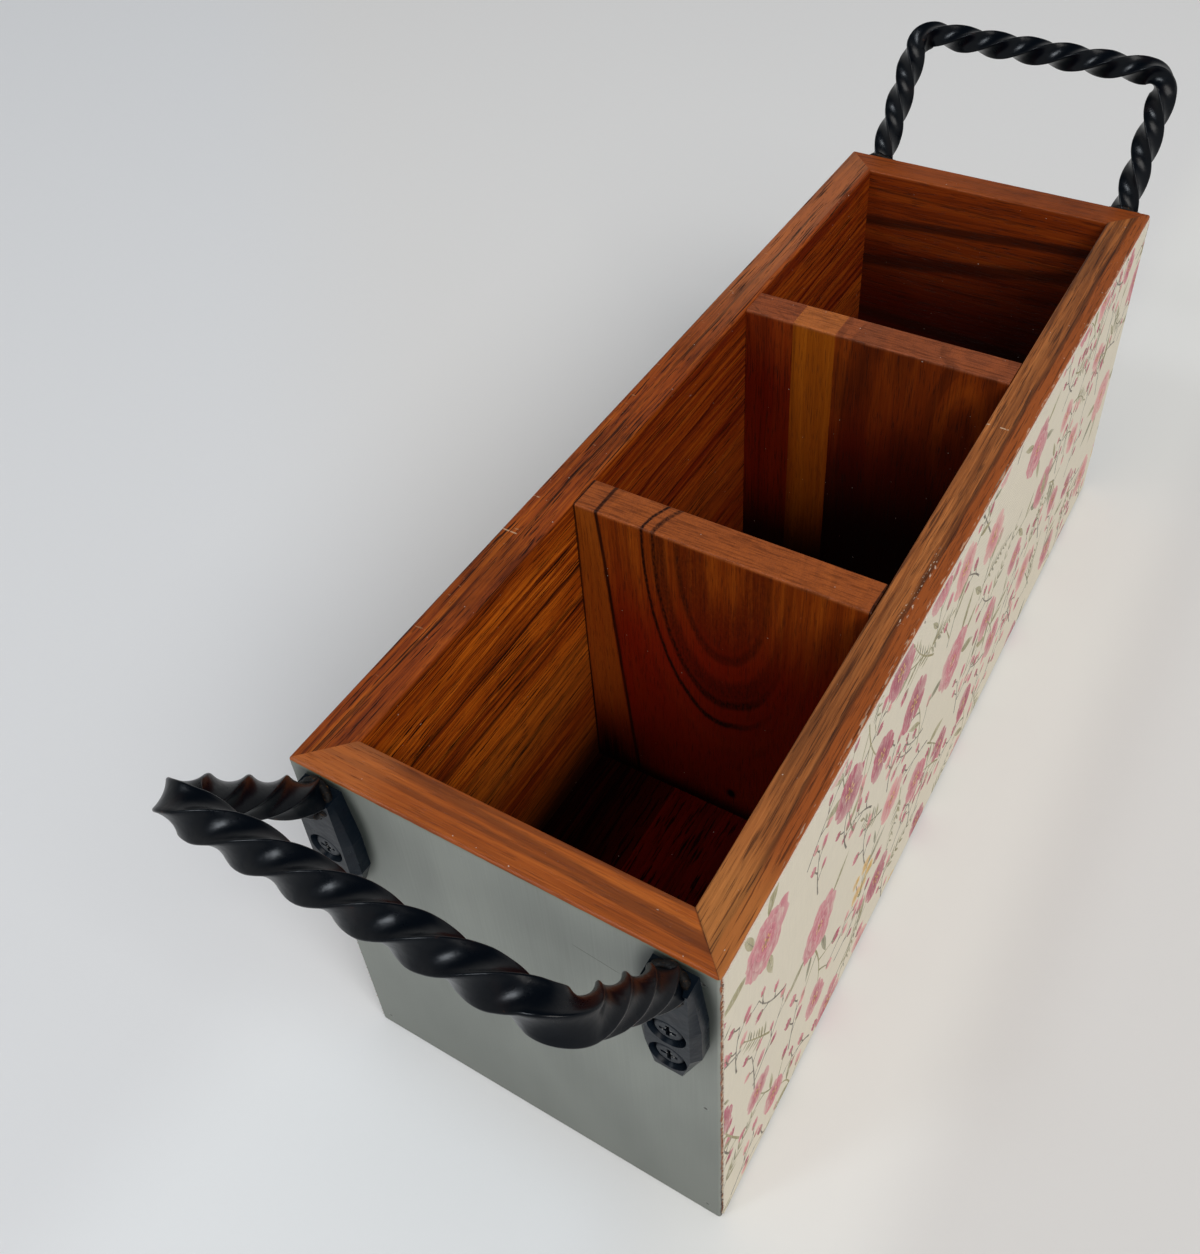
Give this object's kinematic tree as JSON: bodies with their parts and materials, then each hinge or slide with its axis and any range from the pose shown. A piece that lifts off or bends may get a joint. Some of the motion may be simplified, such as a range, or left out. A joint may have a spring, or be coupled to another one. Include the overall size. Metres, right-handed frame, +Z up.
{
  "type": "utensil caddy",
  "caption": "Open wooden utensil caddy with upright dividers, printed cloth on each long side and a twisted iron carrying handle at each end.",
  "frame": {"origin": "middle of the footprint on the table", "axes": "+Z up, +Y along the box from the front end to the rear end, +X to the right when seen from the front end"},
  "size_m": [0.131, 0.4698, 0.1929],
  "materials": {
    "painted_end_board": "satin grey-green paint outside, oiled wood on the rim and inside",
    "oiled_side_board": "oiled satin, straight grain along the board",
    "oiled_inner_board": "oiled satin",
    "printed_cloth": "matt cream cotton with a small floral print, glued on",
    "black_iron": "satin black",
    "black_screw": "black oxide with bright wear at the cross",
    "steel_brad": "bright steel"
  },
  "bodies": {
    "root": {"front_end_panel": "painted_end_board", "rear_end_panel": "painted_end_board", "left_side_panel": "oiled_side_board", "right_side_panel": "oiled_side_board", "base_left_plank": "oiled_inner_board", "base_right_plank": "oiled_inner_board", "front_divider": "oiled_inner_board", "rear_divider_left_stave": "oiled_inner_board", "rear_divider_middle_stave": "oiled_inner_board", "rear_divider_right_stave": "oiled_inner_board", "left_print_cover": "printed_cloth", "right_print_cover": "printed_cloth", "front_handle_bar": "black_iron", "rear_handle_bar": "black_iron", "front_handle_left_foot": "black_iron", "front_handle_right_foot": "black_iron", "rear_handle_left_foot": "black_iron", "rear_handle_right_foot": "black_iron", "front_handle_screws": "black_screw", "rear_handle_screws": "black_screw", "front_corner_brads": "steel_brad", "rear_corner_brads": "steel_brad", "left_divider_brads": "steel_brad", "right_divider_brads": "steel_brad"}
  },
  "joints": []
}
